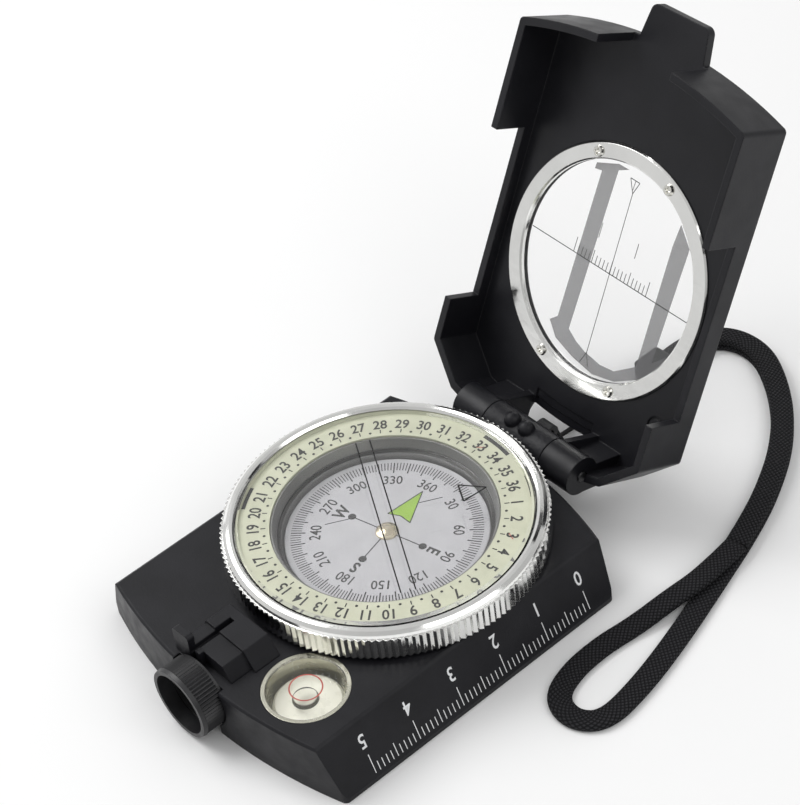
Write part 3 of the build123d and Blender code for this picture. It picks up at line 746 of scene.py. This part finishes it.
def print_films():
    """Painted reflection: translucent grey sheets behind the window's marks, standing in for what the
    glass mirrors.
    """
    reflection_pieces = Print()
    for panel in REFLECTION_PANELS:
        reflection_pieces.shape(panel)
    for (inner, outer), (next_inner, next_outer) in zip(REFLECTION_FOOT, REFLECTION_FOOT[1:]):
        reflection_pieces.shape([inner, outer, next_outer, next_inner])
    # painted reflection: a translucent grey sheet where the window glass mirrors the compass
    grey = film("painted_reflection_grey", (0.13, 0.13, 0.135), 0.76)
    reflection_pieces.build("window_painted_reflection", grey, lid_plane(GLASS_OUTER, WINDOW_AT), "lid")


VIAL = (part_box("vial_glass")[0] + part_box("vial_glass")[1]) / 2 / MM


def print_vial():
    """The red circle of the bubble level."""
    red = Print()
    red.band(2.72, 2.98, 0, 360, centre=VIAL.xy)
    red.build("vial_circle", RED_INK, level_plane(top_of("vial_glass")), "base")


print_number_ring()
print_crystal()
print_card()
print_ruler()
print_window()
# painted reflection on the lid window
print_films()
print_vial()


# ---------------------------------------------------------------- bubble
def bubble_glass(centre, radius):
    """An air bubble: clear in the middle, with painted shade making its rim dark where the real bubble
    turns the light away.
    """
    s = Surface("bubble", (0.05, 0.05, 0.035), 0.2)
    reach = s.nodes.new("ShaderNodeVectorMath")
    reach.operation = "DISTANCE"
    s.links.new(s.place, reach.inputs[0])
    reach.inputs[1].default_value = centre * MM
    # painted shade: the rim turns dark and opaque, standing in for light that the bubble's curved edge
    # turns away
    rim = s.spread(reach.outputs["Value"], 0.06, 0.95, 0.84 * radius * MM, 0.94 * radius * MM)
    s.links.new(rim, s.shader.inputs["Alpha"])
    return s.material


def make_bubble():
    """A flattened bubble just under the vial's glass, a little off centre."""
    radius, height, rings, sides = 2.35, 1.3, 10, 40
    centre = Vector((VIAL.x + 0.4, VIAL.y - 0.7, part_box("vial_glass")[0].z / MM - 0.05))
    points = [centre.copy()]
    for ring in range(1, rings + 1):
        lean = math.pi * ring / (2 * rings)
        reach = radius * math.sin(lean) ** 0.8
        drop = height * (1 - math.cos(lean))
        for side in range(sides):
            edge = polar(reach, 360 * side / sides)
            points.append(centre + Vector((edge.x, edge.y, -drop)))
    faces = [(0, 1 + i, 1 + (i + 1) % sides) for i in range(sides)]
    for ring in range(rings - 1):
        first = 1 + ring * sides
        for i in range(sides):
            j = (i + 1) % sides
            faces.append((first + i, first + sides + i, first + sides + j, first + j))
    mesh = bpy.data.meshes.new("level_bubble")
    mesh.from_pydata([p * MM for p in points], [], faces)
    mesh.materials.append(bubble_glass(centre, radius))
    mesh.shade_smooth()
    piece = bpy.data.objects.new("level_bubble", mesh)
    bpy.context.scene.collection.objects.link(piece)
    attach(piece, "base")


make_bubble()


# ---------------------------------------------------------------- studio
def make_floor():
    """A pale floor under the compass."""
    mesh = bpy.data.meshes.new("floor")
    half = 3.0
    mesh.from_pydata(
        [(-half, -half, 0), (half, -half, 0), (half, half, 0), (-half, half, 0)], [], [(0, 1, 2, 3)]
    )
    s = Surface("floor", (0.9, 0.9, 0.9), 0.9)
    s.color(s.blend(s.noise(300), (0.90, 0.90, 0.90), (0.93, 0.93, 0.93)))
    mesh.materials.append(s.material)
    floor = bpy.data.objects.new("floor", mesh)
    floor.location.z = -0.05 * MM
    bpy.context.scene.collection.objects.link(floor)


LAMP_TARGET = Vector((0, 0.01, 0.02))  # metres


def make_lamp(name, place, size, energy):
    """A soft square lamp aimed at the compass."""
    lamp = bpy.data.lights.new(name, "AREA")
    lamp.size = size
    lamp.energy = energy
    holder = bpy.data.objects.new(name, lamp)
    holder.location = place
    aim = LAMP_TARGET - Vector(place)
    holder.rotation_euler = aim.to_track_quat("-Z", "Y").to_euler()
    bpy.context.scene.collection.objects.link(holder)


def make_studio():
    """Pale surroundings, darker on the ruler side, with two soft lamps."""
    make_floor()
    world = bpy.data.worlds.new("studio")
    world.use_nodes = True
    nodes = world.node_tree.nodes
    nodes["Background"].inputs["Color"].default_value = (1, 1, 1, 1)
    axes = nodes.new("ShaderNodeSeparateXYZ")
    side = nodes.new("ShaderNodeMapRange")
    links = world.node_tree.links
    links.new(nodes.new("ShaderNodeTexCoord").outputs["Generated"], axes.inputs["Vector"])
    links.new(axes.outputs["X"], side.inputs["Value"])
    for name, value in (("From Min", -0.5), ("From Max", 0.9), ("To Min", 0.68), ("To Max", 0.40)):
        side.inputs[name].default_value = value
    links.new(side.outputs["Result"], nodes["Background"].inputs["Strength"])
    bpy.context.scene.world = world
    make_lamp("key", (-0.45, -0.15, 0.60), 0.50, 3.1)
    make_lamp("fill", (0.50, 0.10, 0.55), 0.50, 1.3)
    bpy.context.scene.view_settings.view_transform = "Standard"


make_studio()
